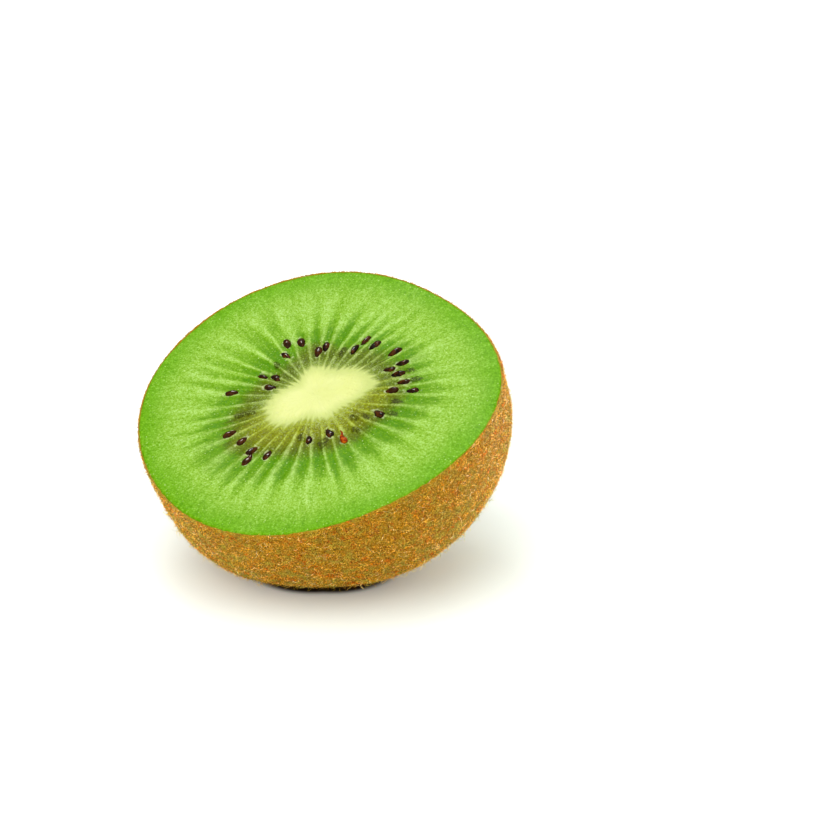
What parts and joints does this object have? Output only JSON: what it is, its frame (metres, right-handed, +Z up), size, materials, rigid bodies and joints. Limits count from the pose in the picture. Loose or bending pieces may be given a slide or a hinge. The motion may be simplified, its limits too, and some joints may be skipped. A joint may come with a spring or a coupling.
{
  "type": "kiwi fruit half",
  "caption": "Half a kiwi fruit, cut across, lying on its rounded hairy skin with the green cut face, pale core and dark seeds tilted up.",
  "frame": {"origin": "on the table, below the middle of the fruit's box, with the small flat spot that it rests on at z = 0", "axes": "+Z up; the cut face looks up and leans about 27 degrees towards -Y; +X is to the right of somebody who looks along +Y at the low edge of the cut face"},
  "size_m": [0.0558, 0.049, 0.0375],
  "materials": {
    "flesh": "moist translucent green flesh with pale radial lines",
    "core": "soft cream core",
    "skin": "thin matt olive-brown skin",
    "fuzz": "felt of fine golden-brown hairs",
    "seeds": "glossy black-brown seeds"
  },
  "bodies": {
    "root": {"flesh": "flesh", "core": "core"}
  },
  "joints": []
}
